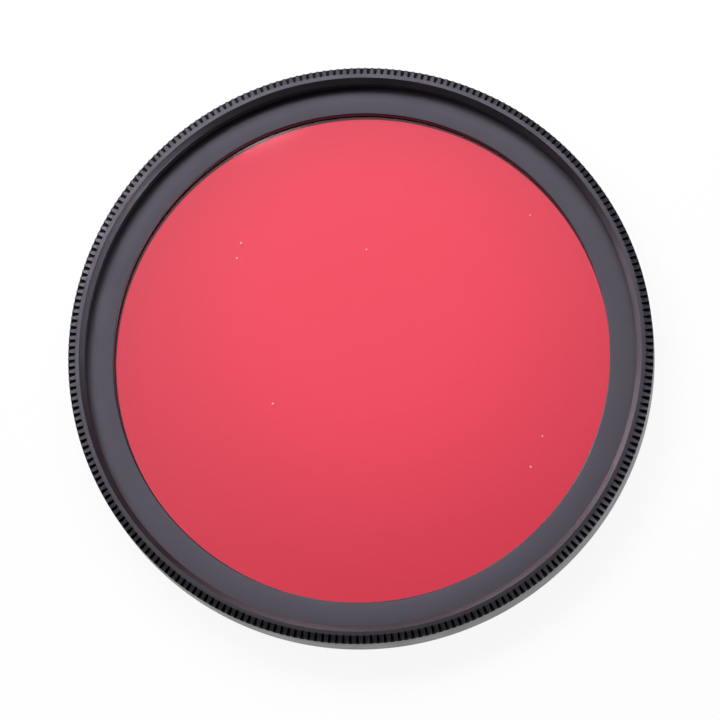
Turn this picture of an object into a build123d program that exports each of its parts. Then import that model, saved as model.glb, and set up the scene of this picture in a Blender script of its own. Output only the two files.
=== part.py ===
from build123d import *
import math
import os

# Colour lens filter: a turned mount with a knurled front edge, a glass disc that drops in from
# the rear against a thin web, and a threaded ring that holds it there.
# Millimetres. +Z is the filter's axis and points out of the front. The origin is at the centre
# of the rear end of the male thread, on which the filter stands.

# Filter thread, the same size in front (female) and at the rear (male)
thread_diameter = 58.0
thread_pitch = 0.75
male_thread_allowance = 0.02

# Thread form, as shares of the pitch: radius lost at a female crest and at a male root
FEMALE_CREST_SHARE = 0.5413
MALE_ROOT_SHARE = 0.6134

# Heights along the axis
body_height = 4.85
male_thread_length = 2.25
front_recess_depth = 2.42
web_thickness = 0.7

# Front rim
rim_wall = 1.355
mouth_chamfer = 0.56
rim_flat_width = 0.45
bevel_depth = 0.57

# Knurl: grooves cut down through the bevel, closed below by the smooth band
knurl_pitch = 0.7225
knurl_depth = 0.85
groove_mouth_width = 0.46
groove_floor_width = 0.22

# Undercuts at the ends of the threads, and the turned edges
front_relief_height = 0.4
rear_relief_height = 0.45
relief_depth = 0.08
shoulder_chamfer = 0.2
thread_lead_chamfer = 0.35
bore_entry_chamfer = 0.2
aperture_chamfer = 0.12

# Rear tube and glass seat, from the male thread's root inwards
tube_wall = 1.31
seat_step = 0.13
seat_step_setback = 0.12
glass_clearance = 0.1
seat_overlap = 1.2

# Glass disc
glass_thickness = 1.5
glass_edge_bevel = 0.2

# Retaining ring
retainer_height = 0.8
retainer_clearance = 0.03
retainer_edge_chamfer = 0.1
spanner_slot_width = 1.2
spanner_slot_depth = 0.3

# How far a cutting solid stands past what it cuts
cut_margin = 0.5

# Radii that follow from the thread
female_crest_radius = thread_diameter / 2 - FEMALE_CREST_SHARE * thread_pitch
female_root_radius = thread_diameter / 2
male_crest_radius = thread_diameter / 2 - male_thread_allowance
male_root_radius = male_crest_radius - MALE_ROOT_SHARE * thread_pitch
outer_radius = female_root_radius + rim_wall
rim_inner_radius = female_crest_radius + mouth_chamfer
rim_outer_radius = rim_inner_radius + rim_flat_width
retainer_bore_radius = male_root_radius - tube_wall
seat_radius = retainer_bore_radius - seat_step
glass_radius = seat_radius - glass_clearance
aperture_radius = glass_radius - seat_overlap

# Heights that follow, up from the rear end
front_z = male_thread_length + body_height
web_front_z = front_z - front_recess_depth
web_rear_z = web_front_z - web_thickness
glass_rear_z = web_rear_z - glass_thickness
seat_step_z = glass_rear_z + seat_step_setback
retainer_rear_z = glass_rear_z - retainer_height


def turned(points):
    """A solid of revolution about Z, from its section as (radius, height) points."""
    outline = Polyline([(radius, 0, height) for radius, height in points], close=True)
    return revolve(make_face(outline), Axis.Z, 360)


def frame_blank():
    """The mount as it leaves the lathe, before its knurl is cut."""
    return turned([
        (rim_inner_radius, front_z),
        (rim_outer_radius, front_z),
        (outer_radius, front_z - bevel_depth),
        (outer_radius, male_thread_length + shoulder_chamfer),
        (outer_radius - shoulder_chamfer, male_thread_length),
        (male_root_radius - relief_depth, male_thread_length),
        (male_root_radius - relief_depth, male_thread_length - rear_relief_height),
        (male_crest_radius, male_thread_length - rear_relief_height),
        (male_crest_radius, thread_lead_chamfer),
        (male_crest_radius - thread_lead_chamfer, 0),
        (retainer_bore_radius + bore_entry_chamfer, 0),
        (retainer_bore_radius, bore_entry_chamfer),
        (retainer_bore_radius, seat_step_z),
        (seat_radius, seat_step_z),
        (seat_radius, web_rear_z),
        (aperture_radius, web_rear_z),
        (aperture_radius, web_front_z - aperture_chamfer),
        (aperture_radius + aperture_chamfer, web_front_z),
        (female_root_radius + relief_depth, web_front_z),
        (female_root_radius + relief_depth, web_front_z + front_relief_height),
        (female_crest_radius, web_front_z + front_relief_height),
        (female_crest_radius, front_z - mouth_chamfer),
    ])


def knurl_cutter():
    """All the knurl's grooves as one group of upright prisms, wider at the mouth than at the floor."""
    rib_count = round(2 * math.pi * outer_radius / knurl_pitch)
    radial_depth = outer_radius - rim_outer_radius
    spread = (groove_mouth_width - groove_floor_width) / 2 / radial_depth
    floor_half = groove_floor_width / 2
    reach = radial_depth + cut_margin
    mouth_half = floor_half + spread * reach
    outline = Polyline(
        (rim_outer_radius, -floor_half),
        (rim_outer_radius + reach, -mouth_half),
        (rim_outer_radius + reach, mouth_half),
        (rim_outer_radius, floor_half),
        close=True,
    )
    groove = extrude(make_face(outline), knurl_depth + cut_margin)
    groove = Pos(0, 0, front_z - knurl_depth) * groove
    return [Rot(0, 0, 360 * index / rib_count) * groove for index in range(rib_count)]


def frame_ring():
    """The mount: front thread, web, knurled rim, smooth band and rear thread, all one piece."""
    return frame_blank() - knurl_cutter()


def filter_glass():
    """The coloured glass disc, with both edges bevelled, up against the web's rear face."""
    return turned([
        (0, glass_rear_z),
        (glass_radius - glass_edge_bevel, glass_rear_z),
        (glass_radius, glass_rear_z + glass_edge_bevel),
        (glass_radius, web_rear_z - glass_edge_bevel),
        (glass_radius - glass_edge_bevel, web_rear_z),
        (0, web_rear_z),
    ])


def retaining_ring():
    """The flat ring screwed in behind the glass, with two slots for a pin spanner."""
    outer = retainer_bore_radius - retainer_clearance
    inner = aperture_radius
    ring = turned([
        (inner, glass_rear_z),
        (outer, glass_rear_z),
        (outer, retainer_rear_z + retainer_edge_chamfer),
        (outer - retainer_edge_chamfer, retainer_rear_z),
        (inner + retainer_edge_chamfer, retainer_rear_z),
        (inner, retainer_rear_z + retainer_edge_chamfer),
    ])
    slot_height = spanner_slot_depth + cut_margin
    slots = Box(2 * (outer + cut_margin), spanner_slot_width, slot_height)
    slots = Pos(0, 0, retainer_rear_z + spanner_slot_depth - slot_height / 2) * slots
    return ring - slots


def main():
    os.makedirs("parts", exist_ok=True)
    export_step(frame_ring(), "parts/frame_ring.step")
    export_step(filter_glass(), "parts/filter_glass.step")
    export_step(retaining_ring(), "parts/retaining_ring.step")


main()
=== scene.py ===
import math

import bmesh
import bpy
from mathutils import Matrix, Vector


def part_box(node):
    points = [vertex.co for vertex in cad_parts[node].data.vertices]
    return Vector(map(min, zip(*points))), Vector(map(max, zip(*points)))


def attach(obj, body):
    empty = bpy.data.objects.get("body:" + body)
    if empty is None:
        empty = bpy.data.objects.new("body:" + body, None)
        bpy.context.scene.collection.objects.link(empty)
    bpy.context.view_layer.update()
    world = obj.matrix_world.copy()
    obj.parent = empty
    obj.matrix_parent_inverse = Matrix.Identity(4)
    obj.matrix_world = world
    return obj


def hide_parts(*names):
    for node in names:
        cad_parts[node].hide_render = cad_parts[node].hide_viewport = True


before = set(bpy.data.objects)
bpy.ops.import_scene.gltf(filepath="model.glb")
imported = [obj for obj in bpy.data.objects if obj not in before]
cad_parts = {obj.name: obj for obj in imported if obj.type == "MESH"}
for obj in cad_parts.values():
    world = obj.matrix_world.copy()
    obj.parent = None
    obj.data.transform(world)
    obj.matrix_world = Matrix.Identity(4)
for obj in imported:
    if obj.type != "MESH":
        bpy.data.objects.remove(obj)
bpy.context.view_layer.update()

MM = 0.001
RING_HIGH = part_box("frame_ring")[1]

# Driving sizes of the mount, as in the model. The outer radius and the height are read from the
# frame.
OUTER_RADIUS = RING_HIGH.x / MM
FRONT_Z = RING_HIGH.z / MM
THREAD_DIAMETER = 58.0
THREAD_PITCH = 0.75
FEMALE_CREST_RADIUS = 28.594
MALE_CREST_RADIUS = 28.98
MALE_ROOT_RADIUS = 28.52
MALE_THREAD_LENGTH = 2.25
THREAD_LEAD_CHAMFER = 0.35
RELIEF_DEPTH = 0.08
FRONT_RELIEF_HEIGHT = 0.4
REAR_RELIEF_HEIGHT = 0.45
SHOULDER_CHAMFER = 0.2
MOUTH_CHAMFER = 0.56
RIM_FLAT_WIDTH = 0.45
BEVEL_DEPTH = 0.57
FRONT_RECESS_DEPTH = 2.42
WEB_THICKNESS = 0.7
APERTURE_RADIUS = 25.782
APERTURE_CHAMFER = 0.12
SEAT_RADIUS = 27.08
SEAT_STEP_Z = 2.60
RETAINER_BORE_RADIUS = 27.21
BORE_ENTRY_CHAMFER = 0.2

# Knurl, as in the model
RIB_COUNT = 264
KNURL_DEPTH = 0.85
GROOVE_MOUTH_WIDTH = 0.46
GROOVE_FLOOR_WIDTH = 0.22

# Knurl and rim, detail that is only here: the ribs' eased edges, the grooves' dished floors and
# filled corners, and the rim's slight fall towards both of its edges
RIB_EDGE_INSET = 0.035
RIB_EDGE_DROP = 0.02
FLOOR_DIP = 0.02
FLOOR_CORNER = 0.04
RIM_FALL = 0.03
RIM_LIP = 0.06
RIM_STEP = 0.05
RIM_STEP_FALL_SHARE = 0.7

# Threads, detail that is only here. A form is the shares of the pitch that are crest and root, and
# a runout is the length over which a thread fades at its ends.
OUTSIDE_FORM = (0.125, 0.25)
INSIDE_FORM = (0.25, 0.125)
THREAD_RUNOUT = 0.18
RETAINER_THREAD_PITCH = 0.5
RETAINER_THREAD_DEPTH = 0.25
RETAINER_RUNOUT = 0.12
SEAT_LAND = 0.05

# Roundings of the edges. A rounding takes at most a share of the shorter side of its corner.
KNURL_ROUNDING = 0.1
SHOULDER_ROUNDING = 0.05
REAR_ROUNDING = 0.04
SEAT_ROUNDING = 0.03
MOUTH_ROUNDING = 0.03
ROUNDING_STEPS = 3
LARGEST_ROUNDING_SHARE = 0.45
OUTLINE_STUB = 0.02
MOUTH_LIP = 0.1

# Steps down the smooth band, from the knurl's columns to one circle a rib and to the plain circles
LEDGE_STEP = 0.04
BAND_STEP = 0.05

# The band's finish ends at this share of its chamfer, and the web's is found with this slack
BAND_FINISH_SHARE = 0.9
HEIGHT_SLACK = 0.01

# Heights and radii that follow
WEB_FRONT_Z = FRONT_Z - FRONT_RECESS_DEPTH
WEB_REAR_Z = WEB_FRONT_Z - WEB_THICKNESS
LEDGE_Z = FRONT_Z - KNURL_DEPTH
BAND_TOP_Z = LEDGE_Z - LEDGE_STEP
PLAIN_BAND_Z = BAND_TOP_Z - BAND_STEP
MALE_THREAD_TOP = MALE_THREAD_LENGTH - REAR_RELIEF_HEIGHT
FEMALE_THREAD_LOW = WEB_FRONT_Z + FRONT_RELIEF_HEIGHT
FEMALE_THREAD_TOP = FRONT_Z - MOUTH_CHAMFER
FEMALE_ROOT_RADIUS = THREAD_DIAMETER / 2
RIM_INNER_RADIUS = FEMALE_CREST_RADIUS + MOUTH_CHAMFER
RIM_OUTER_RADIUS = RIM_INNER_RADIUS + RIM_FLAT_WIDTH

# How finely the mount is divided round the axis away from its knurl, how near points are merged
# (metres), and the angle in degrees over which an edge stays sharp
PLAIN_COUNT = 2 * RIB_COUNT
MERGE_DISTANCE_M = 1e-8
SHARP_ANGLE = 12

# Materials of the mount by zone, in the order of its slots, and the zones of a rib's seven columns,
# from the middle of the groove before it
ZONES = ["rim", "rib", "groove", "band", "tube", "wall", "web", "mouth"]
KNURL_COLUMNS = ["groove", "groove", "rib", "rib", "rib", "groove", "groove"]

# Camera, fitted to the photo's circles. Angles in degrees.
IMAGE_SIZE = 720
CAMERA_TILT = 11.96
CAMERA_LEAN_CLOCK = 158.6
CAMERA_DISTANCE_MM = 620.0
SENSOR_WIDTH = 36.0
CLIP_START_M = 0.01
CLIP_END_M = 20.0
PX_PER_MM = 9.683
FRONT_CENTRE_PX = (359.25, 351.94)

# Levels of a noise between which a finish changes: narrow, for the lathe lines' gloss, for the haze
# and for the motes' outlines
NOISE_RANGE = (0.3, 0.7)
LINE_RANGE = (0.25, 0.75)
HAZE_RANGE = (0.35, 0.75)
WOBBLE_RANGE = (0.2, 0.8)
NOISE_DETAIL = 3.0

# Finish of the mount. The lathe lines' scale is per millimetre, the other scales are per metre.
ANODISED_COLOUR = (0.014, 0.0125, 0.0165)
DARK_DYE = 0.5
LIGHT_DYE = 1.5
WORN_COLOUR = (0.07, 0.066, 0.07, 1)
SHEEN_TINT = (0.88, 0.8, 1.0, 1)
ANODISED_IOR = 1.5
LATHE_LINE_SCALE = 9.0
LATHE_LINE_DRIFT = 1.3
LATHE_LINE_ROUGHNESS = 0.6
FINE_GRAIN_SCALE = 9000.0
DYE_PATCH_SCALE = 260.0
WEAR_SPOT_SCALE = 1900.0
WEAR_SPOT_DETAIL = 4.0
WEAR_SPOT_ROUGHNESS = 0.7
WEAR_EDGE = 0.08
LINE_TONE = 0.05
PATCH_TONE = 0.06
LINE_GLOSS = 0.05
PATCH_GLOSS = 0.03
BUMP_STRENGTH = 0.35
BUMP_HEIGHT = 0.02

# Glass and the motes of dust on it: x, y and radius
GLASS_COLOUR = (0.93, 0.05, 0.104, 1)
GLASS_IOR = 1.52
HAZE_SCALE = 120.0
CLEAREST_ROUGHNESS = 0.01
HAZIEST_ROUGHNESS = 0.035
DUST_COLOUR = (0.8, 0.62, 0.62, 1)
DUST_ROUGHNESS = 0.9
DUST_COVER = 0.75
DUST_CORE_SHARE = 0.4
DUST_WOBBLE = 0.05
DUST_WOBBLE_SCALE = 5000.0
DUST = [
    (-12.7, 12.3, 0.16),
    (-13.1, 10.7, 0.1),
    (0.4, 11.5, 0.1),
    (-9.2, -4.8, 0.14),
    (18.8, -8.4, 0.12),
    (17.6, -11.6, 0.12),
    (17.5, 15.0, 0.08),
]

# Table. Seen through the glass it dims outwards from a middle that lies up the picture: a painted
# pool of light with painted shade towards the ring, in place of the ring's shadow on it.
TABLE_SIZE_M = 6
TABLE_DROP = 0.01
TABLE_DARK = (0.86, 0.86, 0.87, 1)
TABLE_LIGHT = (0.9, 0.9, 0.9, 1)
TABLE_TINT_SCALE = 40.0
FLOOR_WHITE_SHARE = 0.91
PAINTED_GLOW_MIDDLE = (0, 8, 0)
PAINTED_GLOW_INNER_RADIUS = 8
PAINTED_GLOW_OUTER_RADIUS = 34
PAINTED_GLOW_INNER_SHARE = 0.97
PAINTED_GLOW_OUTER_SHARE = 0.7

# World. The bright side's cosines are where its glow starts and is full.
WHITE = (1, 1, 1, 1)
WORLD_BRIGHT_SIDE = (-0.16, 0.44, 0.88)
WORLD_GLOW_STARTS = 0.93
WORLD_GLOW_FULL = 0.985
WORLD_DARK = 0.03
WORLD_BRIGHT = 1.6

# Softboxes: name, clock angle and elevation in degrees, height in metres, power in watts
LAMP_DISTANCE_M = 0.3
LAMP_WIDTH_M = 0.12
LAMPS = [
    ("overhead_left", 300, 60, 0.12, 0.24),
    ("overhead", 335, 60, 0.12, 0.34),
    ("overhead_right", 25, 60, 0.12, 0.22),
    ("low_left", 270, 10, 0.06, 0.19),
    ("low_upper_left", 300, 10, 0.06, 0.34),
    ("low_top", 330, 10, 0.06, 0.17),
    ("low_north", 5, 10, 0.06, 0.16),
    ("low_right", 90, 10, 0.06, 0.16),
    ("low_lower_right", 120, 10, 0.06, 0.32),
]


class TurnedMesh:
    """A closed section carried round the axis, row by row. Each row is a ring of points."""

    def __init__(self):
        self.points = []
        self.faces = []
        self.zones = []
        self.rows = []

    def row(self, points, zone=None, sector_zones=None):
        """Adds a ring of points and joins it to the ring before.

        sector_zones names a zone for each column in turn, in place of one zone for all.
        """
        start = len(self.points)
        self.points.extend(points)
        self.rows.append(range(start, start + len(points)))
        if len(self.rows) > 1:
            self.join(self.rows[-2], self.rows[-1], zone, sector_zones)

    def plain_rows(self, outline, zone):
        """Adds a plain circle for each (radius, height) of an outline."""
        for radius, height in outline:
            self.row(circle(radius, height, PLAIN_COUNT), zone)

    def join(self, first, second, zone, sector_zones=None):
        """Faces between two rings. Where one is finer, each face takes several of its points."""
        shared = min(len(first), len(second))
        first_step = len(first) // shared
        second_step = len(second) // shared
        for index in range(shared):
            near = [first[(index * first_step + k) % len(first)] for k in range(first_step + 1)]
            far = [second[(index * second_step + k) % len(second)] for k in range(second_step + 1)]
            self.faces.append(near + far[::-1])
            self.zones.append(sector_zones[index % len(sector_zones)] if sector_zones else zone)

    def close(self, zone):
        """Joins the last ring to the first."""
        self.join(self.rows[-1], self.rows[0], zone)

    def build(self, name):
        """The finished mesh in metres, with points that fell together merged."""
        mesh = bpy.data.meshes.new(name)
        mesh.from_pydata([Vector(p) * MM for p in self.points], [], self.faces)
        mesh.polygons.foreach_set("material_index", [ZONES.index(zone) for zone in self.zones])
        clean(mesh)
        return mesh


def clean(mesh):
    """Merges doubled points, drops faces with no area and turns every face outwards."""
    work = bmesh.new()
    work.from_mesh(mesh)
    bmesh.ops.remove_doubles(work, verts=work.verts, dist=MERGE_DISTANCE_M)
    bmesh.ops.dissolve_degenerate(work, edges=work.edges, dist=MERGE_DISTANCE_M)
    bmesh.ops.recalc_face_normals(work, faces=work.faces)
    work.to_mesh(mesh)
    work.free()


def polar(radius, angle, height):
    return (radius * math.cos(angle), radius * math.sin(angle), height)


def circle(radius, height, count):
    """A plain circle of points."""
    step = 2 * math.pi / count
    return [polar(radius, index * step, height) for index in range(count)]


def rounded(points, radius):
    """The (radius, height) points with every corner between the first and the last rounded."""
    out = [Vector(points[0])]
    for before, corner, after in zip(points, points[1:], points[2:]):
        before, corner, after = Vector(before), Vector(corner), Vector(after)
        to_before = (before - corner).normalized()
        to_after = (after - corner).normalized()
        half = to_before.angle(to_after) / 2
        shorter = min((before - corner).length, (after - corner).length)
        reach = min(radius / math.tan(half), LARGEST_ROUNDING_SHARE * shorter)
        size = reach * math.tan(half)
        centre = corner + (to_before + to_after).normalized() * (size / math.sin(half))
        start = corner + to_before * reach - centre
        end = corner + to_after * reach - centre
        for k in range(ROUNDING_STEPS + 1):
            spoke = start.lerp(end, k / ROUNDING_STEPS)
            out.append(centre + spoke.normalized() * size)
    out.append(Vector(points[-1]))
    return [tuple(p) for p in out]


def groove_half_width(radius):
    """Half the width of a knurl groove at a radius: it narrows from its mouth to its floor."""
    share = (radius - RIM_OUTER_RADIUS) / (OUTER_RADIUS - RIM_OUTER_RADIUS)
    widening = max(share, 0) * (GROOVE_MOUTH_WIDTH - GROOVE_FLOOR_WIDTH)
    return (GROOVE_FLOOR_WIDTH + widening) / 2


def knurl_rows():
    """The rings of the knurl, from the rim's outer edge to the smooth band.

    Each rib has seven columns of points: three on the groove's floor and four on the rib's crest,
    whose edges are eased.
    """
    rim_z = FRONT_Z - RIM_FALL
    start = [(RIM_OUTER_RADIUS - RIM_LIP, rim_z), (RIM_OUTER_RADIUS, rim_z)]
    end = [(OUTER_RADIUS, LEDGE_Z)]
    crest = rounded(start + [(OUTER_RADIUS, FRONT_Z - BEVEL_DEPTH)] + end, KNURL_ROUNDING)
    floor = rounded(start + [(RIM_OUTER_RADIUS, LEDGE_Z)] + end, KNURL_ROUNDING)
    step = 2 * math.pi / RIB_COUNT
    last = len(crest) - 1
    rows = []
    for k, ((crest_r, crest_z), (floor_r, floor_z)) in enumerate(zip(crest, floor)):
        inside = 0 < k < last
        drop = RIB_EDGE_DROP if inside else 0
        dip = FLOOR_DIP if inside else 0
        corner = FLOOR_CORNER if inside and floor_r < OUTER_RADIUS - FLOOR_CORNER else 0
        edge = step / 2 - groove_half_width(crest_r) / crest_r
        flat = edge - RIB_EDGE_INSET / crest_r
        floor_half = groove_half_width(floor_r) / floor_r
        ring = []
        for index in range(RIB_COUNT):
            groove = index * step
            rib = groove + step / 2
            ring += [
                polar(floor_r - dip, groove, floor_z - dip),
                polar(floor_r + corner, groove + floor_half, floor_z),
                polar(crest_r - drop, rib - edge, crest_z - drop),
                polar(crest_r, rib - flat, crest_z),
                polar(crest_r, rib + flat, crest_z),
                polar(crest_r - drop, rib + edge, crest_z - drop),
                polar(floor_r + corner, groove + step - floor_half, floor_z),
            ]
        rows.append(ring)
    return rows


def thread_rows(crest, depth, low, high, pitch, form, runout):
    """Rings of a right-hand helical thread between two heights, upwards.

    depth is how far the root lies outside the crest (negative for a male thread). The rings climb
    with the helix and are held at both ends.
    """
    crest_share, root_share = form
    flank = (1 - crest_share - root_share) / 2
    profile = [
        (0.0, 0),
        (crest_share, 0),
        (crest_share + flank, 1),
        (crest_share + flank + root_share, 1),
    ]
    turns_low = math.floor(low / pitch) - 2
    turns_high = math.ceil(high / pitch) + 1
    step = 2 * math.pi / PLAIN_COUNT
    rows = []
    for turn in range(turns_low, turns_high):
        for phase, level in profile:
            ring = []
            for index in range(PLAIN_COUNT):
                height = (turn + phase + index / PLAIN_COUNT) * pitch
                held = min(max(height, low), high)
                share = min(held - low, high - held) / runout
                share = min(max(share, 0), 1)
                ring.append((held, crest + depth * level * share, index * step))
            heights = [h for h, _, _ in ring]
            if min(heights) == high or max(heights) == low:
                continue
            rows.append([polar(r, a, h) for h, r, a in ring])
    return rows


def turn_rim_and_knurl(mesh):
    """From the middle of the rim's flat, over the knurl, to the top of the smooth band."""
    rim_middle = (RIM_INNER_RADIUS + RIM_OUTER_RADIUS) / 2
    step_z = FRONT_Z - RIM_STEP_FALL_SHARE * RIM_FALL
    mesh.plain_rows([(rim_middle, FRONT_Z - RIM_FALL / 2)], "rim")
    mesh.row(circle(rim_middle + RIM_STEP, step_z, RIB_COUNT), "rim")
    rings = knurl_rows()
    mesh.row(rings[0], "rim")
    for ring in rings[1:]:
        mesh.row(ring, sector_zones=KNURL_COLUMNS)
    mesh.row(circle(OUTER_RADIUS, BAND_TOP_Z, RIB_COUNT), "band")


def turn_band_and_shoulder(mesh):
    """Down the smooth band, over the shoulder and through the rear undercut."""
    relief = MALE_ROOT_RADIUS - RELIEF_DEPTH
    outline = rounded([
        (OUTER_RADIUS, PLAIN_BAND_Z),
        (OUTER_RADIUS, MALE_THREAD_LENGTH + SHOULDER_CHAMFER),
        (OUTER_RADIUS - SHOULDER_CHAMFER, MALE_THREAD_LENGTH),
        (relief, MALE_THREAD_LENGTH),
        (relief, MALE_THREAD_TOP),
        (MALE_CREST_RADIUS, MALE_THREAD_TOP),
    ], SHOULDER_ROUNDING)
    band_ends = OUTER_RADIUS - BAND_FINISH_SHARE * SHOULDER_CHAMFER
    for radius, height in outline[:-1]:
        mesh.plain_rows([(radius, height)], "band" if radius > band_ends else "tube")


def turn_rear(mesh):
    """Down the male thread, round the rear end and up the retaining ring's thread."""
    male = thread_rows(MALE_CREST_RADIUS, MALE_ROOT_RADIUS - MALE_CREST_RADIUS,
                       THREAD_LEAD_CHAMFER, MALE_THREAD_TOP,
                       THREAD_PITCH, OUTSIDE_FORM, THREAD_RUNOUT)
    for ring in reversed(male):
        mesh.row(ring, "tube")
    outline = rounded([
        (MALE_CREST_RADIUS, THREAD_LEAD_CHAMFER + OUTLINE_STUB),
        (MALE_CREST_RADIUS, THREAD_LEAD_CHAMFER),
        (MALE_CREST_RADIUS - THREAD_LEAD_CHAMFER, 0),
        (RETAINER_BORE_RADIUS + BORE_ENTRY_CHAMFER, 0),
        (RETAINER_BORE_RADIUS, BORE_ENTRY_CHAMFER),
    ], REAR_ROUNDING)
    # The thread's last ring takes the place of the stub and of all but the end of its rounding
    mesh.plain_rows(outline[1 + ROUNDING_STEPS:], "tube")
    inner = thread_rows(RETAINER_BORE_RADIUS, RETAINER_THREAD_DEPTH,
                        BORE_ENTRY_CHAMFER, SEAT_STEP_Z - SEAT_LAND,
                        RETAINER_THREAD_PITCH, INSIDE_FORM, RETAINER_RUNOUT)
    for ring in inner:
        mesh.row(ring, "wall")


def turn_seat_and_web(mesh):
    """Through the glass's seat, round the web and through the front undercut."""
    relief = FEMALE_ROOT_RADIUS + RELIEF_DEPTH
    outline = rounded([
        (RETAINER_BORE_RADIUS, SEAT_STEP_Z),
        (SEAT_RADIUS, SEAT_STEP_Z),
        (SEAT_RADIUS, WEB_REAR_Z),
        (APERTURE_RADIUS, WEB_REAR_Z),
        (APERTURE_RADIUS, WEB_FRONT_Z - APERTURE_CHAMFER),
        (APERTURE_RADIUS + APERTURE_CHAMFER, WEB_FRONT_Z),
        (relief, WEB_FRONT_Z),
        (relief, FEMALE_THREAD_LOW),
        (FEMALE_CREST_RADIUS, FEMALE_THREAD_LOW),
    ], SEAT_ROUNDING)
    for radius, height in outline[:-1]:
        on_web = height >= WEB_FRONT_Z - HEIGHT_SLACK and radius > APERTURE_RADIUS
        mesh.plain_rows([(radius, height)], "web" if on_web else "wall")


def turn_front_thread_and_mouth(mesh):
    """Up the female thread and out over the mouth's chamfer to the rim."""
    female = thread_rows(FEMALE_CREST_RADIUS, FEMALE_ROOT_RADIUS - FEMALE_CREST_RADIUS,
                         FEMALE_THREAD_LOW, FEMALE_THREAD_TOP,
                         THREAD_PITCH, INSIDE_FORM, THREAD_RUNOUT)
    for ring in female:
        mesh.row(ring, "wall")
    mouth = rounded([
        (FEMALE_CREST_RADIUS, FEMALE_THREAD_TOP - OUTLINE_STUB),
        (FEMALE_CREST_RADIUS, FEMALE_THREAD_TOP),
        (RIM_INNER_RADIUS, FRONT_Z),
        (RIM_INNER_RADIUS + MOUTH_LIP, FRONT_Z - MOUTH_LIP / RIM_FLAT_WIDTH * RIM_FALL),
    ], MOUTH_ROUNDING)
    # The thread's last ring takes the place of the stub and of the start of its rounding
    mesh.plain_rows(mouth[2:], "mouth")


def frame_ring_mesh():
    """The whole mount as one closed mesh, round its section from the rim's flat outwards."""
    mesh = TurnedMesh()
    turn_rim_and_knurl(mesh)
    turn_band_and_shoulder(mesh)
    turn_rear(mesh)
    turn_seat_and_web(mesh)
    turn_front_thread_and_mouth(mesh)
    mesh.close("rim")
    return mesh.build("frame_ring_turned")


class Nodes:
    """Short calls for building a node tree."""

    def __init__(self, tree):
        self.tree = tree
        self.tree.nodes.clear()

    def add(self, kind, inputs=(), **settings):
        """A node with its settings, its inputs linked to sockets or set to values."""
        node = self.tree.nodes.new(kind)
        for key, value in settings.items():
            setattr(node, key, value)
        for key, value in dict(inputs).items():
            self.put(node.inputs[key], value)
        return node

    def put(self, socket, value):
        if isinstance(value, bpy.types.NodeSocket):
            self.tree.links.new(value, socket)
        else:
            socket.default_value = value

    def math(self, operation, first, second=0.0):
        node = self.add("ShaderNodeMath", {0: first, 1: second}, operation=operation)
        return node.outputs[0]

    def distance(self, first, second):
        node = self.add("ShaderNodeVectorMath", {0: first, 1: second}, operation="DISTANCE")
        return node.outputs["Value"]

    def mix(self, share, first, second):
        """A shader between two, by share."""
        return self.add("ShaderNodeMixShader", {
            0: share, 1: first.outputs[0], 2: second.outputs[0]})

    def noise(self, vector, scale, detail=2.0, roughness=0.5):
        node = self.add("ShaderNodeTexNoise", {
            "Vector": vector, "Scale": scale, "Detail": detail, "Roughness": roughness})
        return node.outputs["Fac"]

    def ramp(self, value, low, high, out_low=0.0, out_high=1.0):
        """Smoothly maps low..high to out_low..out_high."""
        node = self.add("ShaderNodeMapRange", {
            "Value": value, "From Min": low, "From Max": high,
            "To Min": out_low, "To Max": out_high}, interpolation_type="SMOOTHSTEP")
        return node.outputs["Result"]

    def swing(self, noise, amount):
        """A noise made into a change of up to amount, both ways."""
        return self.ramp(noise, *NOISE_RANGE, -amount, amount)

    def blend(self, share, first, second):
        """A colour between two, by share."""
        node = self.add("ShaderNodeMix", data_type="RGBA")
        self.put(node.inputs["Factor"], share)
        colours = [socket for socket in node.inputs if socket.type == "RGBA"]
        self.put(colours[0], first)
        self.put(colours[1], second)
        return next(socket for socket in node.outputs if socket.type == "RGBA")

    def position(self):
        return self.add("ShaderNodeTexCoord").outputs["Object"]

    def finish(self, shader, kind="ShaderNodeOutputMaterial"):
        """Sends a shader to the output."""
        self.add(kind, {0: shader.outputs[0]})


def new_material(name):
    material = bpy.data.materials.new(name)
    material.use_nodes = True
    return material, Nodes(material.node_tree)


def scaled(colour, factor):
    return tuple(channel * factor for channel in colour)


def lathe_coordinates(nodes, position):
    """Coordinates that follow the lathe: fine across the cut, long along it."""
    parts = nodes.add("ShaderNodeSeparateXYZ", {0: position}).outputs
    square = nodes.math("ADD", nodes.math("MULTIPLY", parts[0], parts[0]),
                        nodes.math("MULTIPLY", parts[1], parts[1]))
    radius = nodes.math("SQRT", square)
    angle = nodes.math("ARCTAN2", parts[1], parts[0])
    return nodes.add("ShaderNodeCombineXYZ", {
        0: nodes.math("MULTIPLY", radius, 1 / MM),
        1: nodes.math("MULTIPLY", parts[2], 1 / MM),
        2: nodes.math("MULTIPLY", nodes.math("SINE", angle), LATHE_LINE_DRIFT),
    }).outputs[0]


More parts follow.
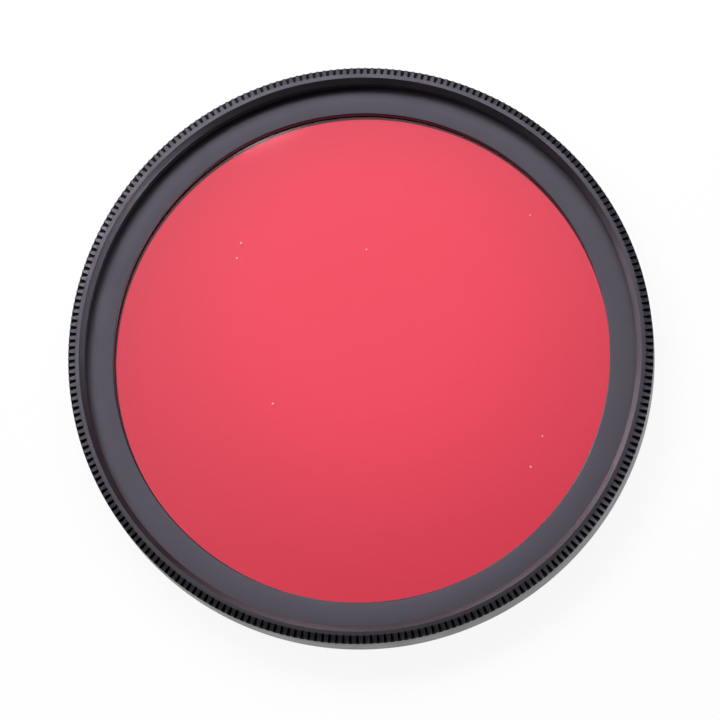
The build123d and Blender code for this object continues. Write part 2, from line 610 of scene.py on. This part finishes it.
def anodised(name, colour, roughness, turning=0.25, grain=0.12, wear=0.0, sheen=0.5):
    """Black anodised aluminium: lathe lines, a fine grain and uneven dye.

    Where wear is over 0 it has rubbed spots too. turning and grain are shares of the bump.
    """
    material, nodes = new_material(name)
    position = nodes.position()
    lines = nodes.noise(lathe_coordinates(nodes, position), LATHE_LINE_SCALE, NOISE_DETAIL,
                        LATHE_LINE_ROUGHNESS)
    fine = nodes.noise(position, FINE_GRAIN_SCALE)
    patches = nodes.noise(position, DYE_PATCH_SCALE, NOISE_DETAIL)
    tone = nodes.math("ADD", nodes.swing(patches, PATCH_TONE), nodes.swing(lines, LINE_TONE))
    dark = scaled(colour, DARK_DYE) + (1,)
    light = scaled(colour, LIGHT_DYE) + (1,)
    shade = nodes.blend(nodes.math("ADD", tone, 0.5), dark, light)
    if wear > 0:
        spots = nodes.noise(position, WEAR_SPOT_SCALE, WEAR_SPOT_DETAIL, WEAR_SPOT_ROUGHNESS)
        rubbed = nodes.ramp(spots, 1.0 - wear, 1.0 - wear + WEAR_EDGE)
        shade = nodes.blend(rubbed, shade, WORN_COLOUR)
    line_gloss = nodes.ramp(lines, *LINE_RANGE, roughness - LINE_GLOSS, roughness + LINE_GLOSS)
    gloss = nodes.math("ADD", line_gloss, nodes.swing(patches, PATCH_GLOSS))
    relief = nodes.math("ADD", nodes.math("MULTIPLY", lines, turning),
                        nodes.math("MULTIPLY", fine, grain))
    bump = nodes.add("ShaderNodeBump", {
        "Strength": BUMP_STRENGTH, "Distance": BUMP_HEIGHT * MM, "Height": relief})
    nodes.finish(nodes.add("ShaderNodeBsdfPrincipled", {
        "Base Color": shade,
        "Roughness": gloss,
        "IOR": ANODISED_IOR,
        "Specular IOR Level": sheen,
        "Specular Tint": SHEEN_TINT,
        "Normal": bump.outputs[0],
    }))
    return material


def dust_share(nodes, position):
    """1 on a mote of dust and 0 off it. The motes lie where the photo shows them."""
    flat = nodes.add("ShaderNodeVectorMath", {0: position, 1: (1, 1, 0)}, operation="MULTIPLY")
    wobble = nodes.ramp(nodes.noise(position, DUST_WOBBLE_SCALE), *WOBBLE_RANGE,
                        -DUST_WOBBLE * MM, DUST_WOBBLE * MM)
    motes = 0.0
    for x, y, size in DUST:
        away = nodes.math("ADD", nodes.distance(flat.outputs[0], (x * MM, y * MM, 0)), wobble)
        spot = nodes.ramp(away, DUST_CORE_SHARE * size * MM, size * MM, 1.0, 0.0)
        motes = nodes.math("MAXIMUM", motes, spot)
    return motes


def glass_material():
    """Red optical glass with a breath of haze and a few motes of dust."""
    material, nodes = new_material("red_filter_glass")
    position = nodes.position()
    haze = nodes.noise(position, HAZE_SCALE, NOISE_DETAIL)
    clean_glass = nodes.add("ShaderNodeBsdfPrincipled", {
        "Base Color": GLASS_COLOUR,
        "Roughness": nodes.ramp(haze, *HAZE_RANGE, CLEAREST_ROUGHNESS, HAZIEST_ROUGHNESS),
        "IOR": GLASS_IOR,
        "Transmission Weight": 1.0,
    })
    dust = nodes.add("ShaderNodeBsdfPrincipled", {
        "Base Color": DUST_COLOUR, "Roughness": DUST_ROUGHNESS})
    cover = nodes.math("MULTIPLY", dust_share(nodes, position), DUST_COVER)
    surface = nodes.mix(cover, clean_glass, dust)
    # Shadow and diffuse rays go straight through, so that the light falls red on what lies behind
    through = nodes.add("ShaderNodeBsdfTransparent", {"Color": GLASS_COLOUR})
    path = nodes.add("ShaderNodeLightPath").outputs
    lamp_ray = nodes.math("MAXIMUM", path["Is Shadow Ray"], path["Is Diffuse Ray"])
    nodes.finish(nodes.mix(lamp_ray, surface, through))
    return material


def floor_material():
    """A pale table that looks white to the camera and in reflections, and keeps soft shadows."""
    material, nodes = new_material("pale_table")
    position = nodes.position()
    tint = nodes.blend(nodes.noise(position, TABLE_TINT_SCALE), TABLE_DARK, TABLE_LIGHT)
    matte = nodes.add("ShaderNodeBsdfDiffuse", {"Color": tint})
    path = nodes.add("ShaderNodeLightPath").outputs
    # Seen through the glass, the white's strength falls off outwards from a middle: painted light
    # and shade
    away = nodes.distance(position, scaled(PAINTED_GLOW_MIDDLE, MM))
    painted_glow_share = nodes.ramp(away, PAINTED_GLOW_INNER_RADIUS * MM, PAINTED_GLOW_OUTER_RADIUS * MM,
                              PAINTED_GLOW_INNER_SHARE, PAINTED_GLOW_OUTER_SHARE)
    dimmed = nodes.math("MULTIPLY", path["Is Transmission Ray"],
                        nodes.math("SUBTRACT", 1.0, painted_glow_share))
    white = nodes.add("ShaderNodeEmission", {
        "Color": WHITE, "Strength": nodes.math("SUBTRACT", 1.0, dimmed)})
    seen = nodes.math("MAXIMUM", path["Is Camera Ray"], path["Is Glossy Ray"])
    seen = nodes.math("MAXIMUM", seen, path["Is Transmission Ray"])
    nodes.finish(nodes.mix(nodes.math("MULTIPLY", seen, FLOOR_WHITE_SHARE), matte, white))
    return material


def shade_smooth(piece):
    """Smooth shading, kept sharp where faces meet at more than an angle."""
    piece.data.polygons.foreach_set("use_smooth", [True] * len(piece.data.polygons))
    piece.data.set_sharp_from_angle(angle=math.radians(SHARP_ANGLE))
    piece.data.update()


def mount_materials():
    """One finish for each zone of the mount, in the order of ZONES."""
    colour = ANODISED_COLOUR
    return [
        anodised("anodised_rim", colour, 0.42, wear=0.3),
        anodised("anodised_rib", colour, 0.42, wear=0.3),
        # The grooves take a quarter of the colour and little sheen: painted shade in the notches,
        # in place of the darkness that occlusion gives them
        anodised("anodised_groove_painted_shade", scaled(colour, 0.25), 0.6, sheen=0.15),
        anodised("anodised_band", colour, 0.38, turning=0.4, wear=0.28),
        anodised("anodised_tube", colour, 0.42),
        anodised("anodised_wall", colour, 0.42),
        anodised("anodised_web", colour, 0.4, turning=0.1),
        anodised("anodised_mouth", colour, 0.4),
    ]


def add_frame_ring():
    """The mount with its knurl, threads and eased edges. It stands for the plain one."""
    piece = bpy.data.objects.new("frame_ring_finished", frame_ring_mesh())
    bpy.context.scene.collection.objects.link(piece)
    for material in mount_materials():
        piece.data.materials.append(material)
    shade_smooth(piece)
    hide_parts("frame_ring")
    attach(piece, "root")


def finish_cad_pieces():
    """The glass and the retaining ring keep their shape and get their finish."""
    finishes = {
        "filter_glass": glass_material(),
        # The retaining ring takes half the colour and little sheen: painted shade under the glass
        "retaining_ring": anodised("anodised_retainer_painted_shade", scaled(ANODISED_COLOUR, 0.5), 0.6,
                                   sheen=0.2),
    }
    for node, material in finishes.items():
        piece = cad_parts[node]
        piece.data.materials.clear()
        piece.data.materials.append(material)


def add_floor():
    bpy.ops.mesh.primitive_plane_add(size=TABLE_SIZE_M, location=(0, 0, -TABLE_DROP * MM))
    floor = bpy.context.object
    floor.name = "table"
    floor.data.materials.append(floor_material())


def add_softbox(name, clock, elevation, height, power):
    """A soft lamp that looks at the filter's middle. clock runs from +Y towards +X."""
    lamp = bpy.data.lights.new(name, "AREA")
    lamp.shape = "RECTANGLE"
    lamp.size = LAMP_WIDTH_M
    lamp.size_y = height
    lamp.energy = power
    place = bpy.data.objects.new(name, lamp)
    bpy.context.scene.collection.objects.link(place)
    turn = math.radians(clock)
    rise = math.radians(elevation)
    towards = Vector((math.sin(turn) * math.cos(rise), math.cos(turn) * math.cos(rise),
                      math.sin(rise)))
    place.location = towards * LAMP_DISTANCE_M
    place.rotation_mode = "QUATERNION"
    place.rotation_quaternion = towards.to_track_quat("Z", "Y")


def add_world():
    """White to the camera; elsewhere a soft studio, bright from high up towards +Y."""
    world = bpy.data.worlds.new("studio")
    bpy.context.scene.world = world
    world.use_nodes = True
    nodes = Nodes(world.node_tree)
    direction = nodes.add("ShaderNodeTexCoord").outputs["Generated"]
    bright_side = Vector(WORLD_BRIGHT_SIDE).normalized()
    towards = nodes.add("ShaderNodeVectorMath", {0: direction, 1: bright_side},
                        operation="DOT_PRODUCT").outputs["Value"]
    level = nodes.ramp(towards, WORLD_GLOW_STARTS, WORLD_GLOW_FULL, WORLD_DARK, WORLD_BRIGHT)
    studio = nodes.add("ShaderNodeBackground", {"Color": WHITE, "Strength": level})
    white = nodes.add("ShaderNodeBackground", {"Color": WHITE, "Strength": 1.0})
    seen = nodes.add("ShaderNodeLightPath").outputs["Is Camera Ray"]
    nodes.finish(nodes.mix(seen, studio, white), "ShaderNodeOutputWorld")


def add_camera():
    """A long lens, about 12 degrees off the filter's axis, as in the photo."""
    tilt = math.radians(CAMERA_TILT)
    lean = math.radians(CAMERA_LEAN_CLOCK)
    across = Vector((math.cos(lean), -math.sin(lean), 0))
    leaning = Vector((math.sin(lean) * math.cos(tilt), math.cos(lean) * math.cos(tilt),
                      -math.sin(tilt)))
    right = math.sin(lean) * leaning + math.cos(lean) * across
    up = math.cos(lean) * leaning - math.sin(lean) * across
    back = right.cross(up)
    aim = Vector((0, 0, FRONT_Z * MM))
    off_x = (IMAGE_SIZE / 2 - FRONT_CENTRE_PX[0]) / PX_PER_MM * MM
    off_y = (FRONT_CENTRE_PX[1] - IMAGE_SIZE / 2) / PX_PER_MM * MM
    place = aim + back * CAMERA_DISTANCE_MM * MM + right * off_x + up * off_y
    camera = bpy.data.cameras.new("camera")
    camera.sensor_width = SENSOR_WIDTH
    camera.lens = SENSOR_WIDTH * CAMERA_DISTANCE_MM * PX_PER_MM / IMAGE_SIZE
    camera.clip_start = CLIP_START_M
    camera.clip_end = CLIP_END_M
    body = bpy.data.objects.new("camera", camera)
    body.matrix_world = Matrix((
        (right.x, up.x, back.x, place.x),
        (right.y, up.y, back.y, place.y),
        (right.z, up.z, back.z, place.z),
        (0, 0, 0, 1),
    ))
    bpy.context.scene.collection.objects.link(body)
    bpy.context.scene.camera = body


add_camera()
add_world()
add_floor()
for lamp_values in LAMPS:
    add_softbox(*lamp_values)
add_frame_ring()
finish_cad_pieces()

bpy.context.scene.view_settings.view_transform = "Standard"
